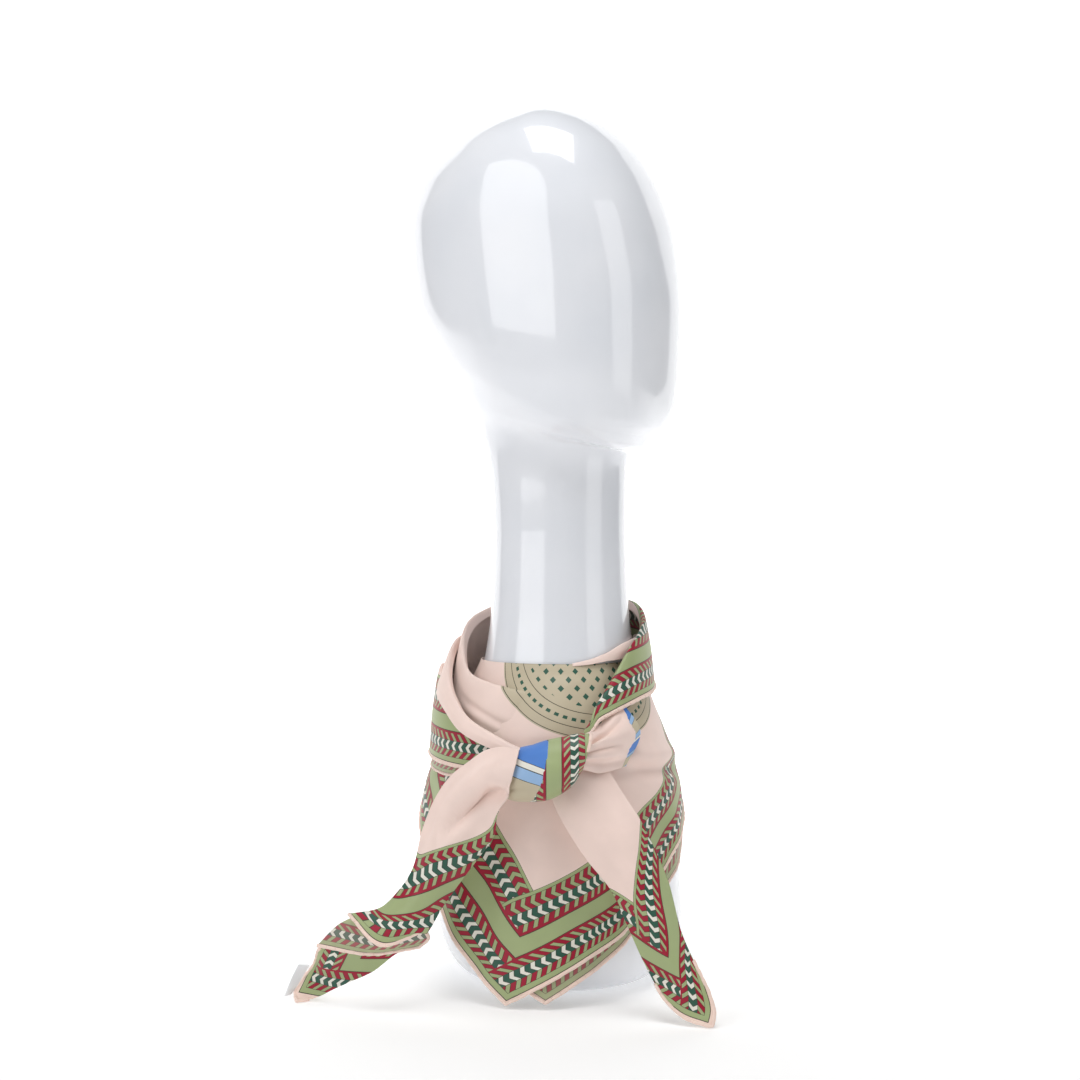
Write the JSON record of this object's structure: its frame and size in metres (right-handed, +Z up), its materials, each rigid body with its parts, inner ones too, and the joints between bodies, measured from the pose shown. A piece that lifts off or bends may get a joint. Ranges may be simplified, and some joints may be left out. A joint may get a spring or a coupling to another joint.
{
  "type": "silk square scarf on a display head stand",
  "caption": "Printed silk square, folded corner to corner and knotted in front, on a glossy abstract display head with a bell-shaped foot.",
  "frame": {"origin": "middle of the stand's flat foot, on the floor", "axes": "+Z up along the neck, -Y to the front where the scarf's corner and knot hang, +X to the right seen from the front"},
  "size_m": [0.2694, 0.2199, 0.591],
  "materials": {
    "silk": "satin",
    "label": "matte",
    "stand_gloss": "gloss"
  },
  "bodies": {
    "root": {"stand": "stand_gloss", "front_panel": "silk", "under_panel": "silk", "neck_roll_right": "silk", "arm_right": "silk", "roll_left_inner": "silk", "wrap_left": "silk", "roll_left_outer": "silk", "wrap_right": "silk", "strand_right": "silk", "knot": "silk", "tail_left": "silk", "tail_left_under": "silk", "tail_left_end": "silk", "tail_right": "silk", "label": "label"}
  },
  "joints": []
}
